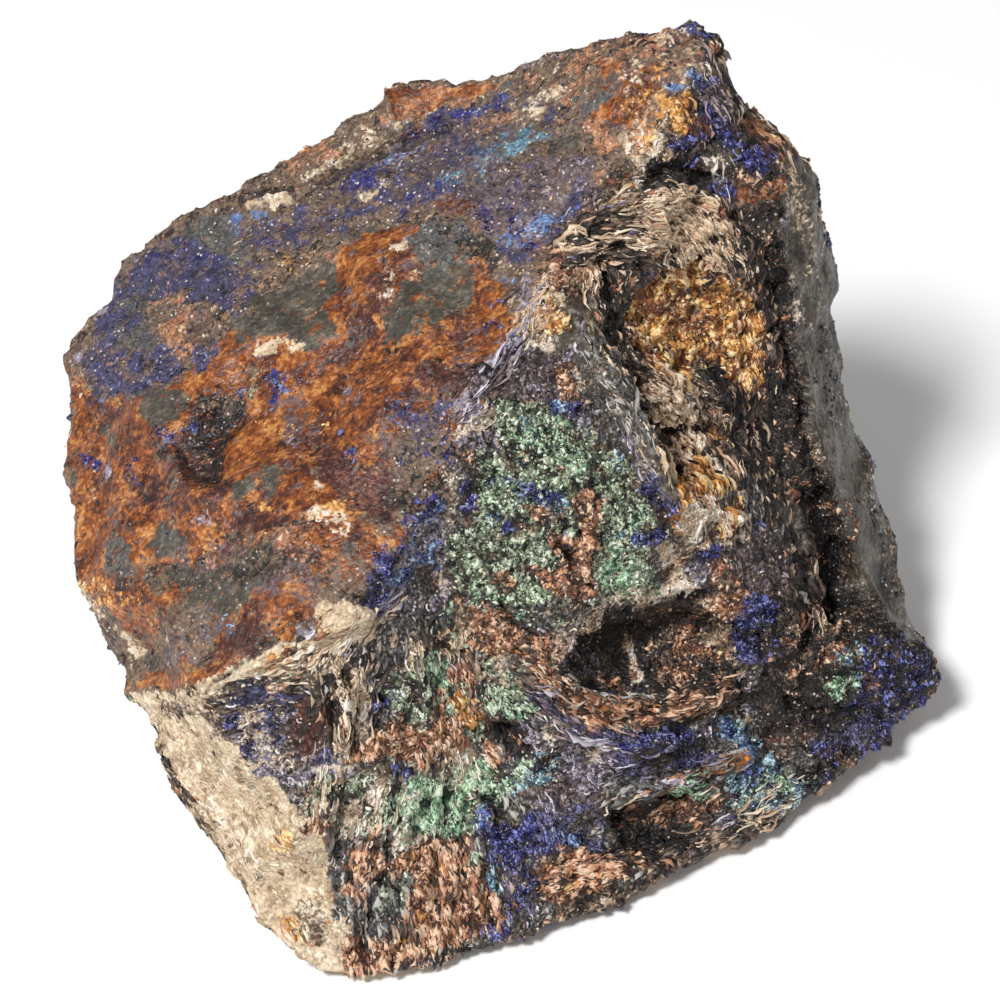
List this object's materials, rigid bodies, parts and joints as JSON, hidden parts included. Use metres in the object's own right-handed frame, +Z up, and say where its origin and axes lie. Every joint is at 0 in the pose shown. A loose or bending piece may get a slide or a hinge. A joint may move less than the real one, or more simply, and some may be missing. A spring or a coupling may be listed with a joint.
{
  "type": "azurite specimen",
  "caption": "Hand specimen of azurite and malachite on weathered, iron-stained mica schist with quartz, resting on its flat underside.",
  "frame": {"origin": "on the flat underside, under the middle of the block's bounding box", "axes": "+X along the block's longest extent, towards the blue corner knob; +Y towards the back; +Z up"},
  "size_m": [0.0858, 0.0704, 0.0655],
  "materials": {
    "rock": "rough broken schist, stained orange-brown by iron",
    "azurite": "small glassy deep-blue crystals",
    "malachite": "dull granular green crust",
    "mica": "pearly curled flakes",
    "iron_ochre": "earthy ochre and rust-red grains"
  },
  "bodies": {
    "root": {"azurite_rock": "rock"}
  },
  "joints": []
}
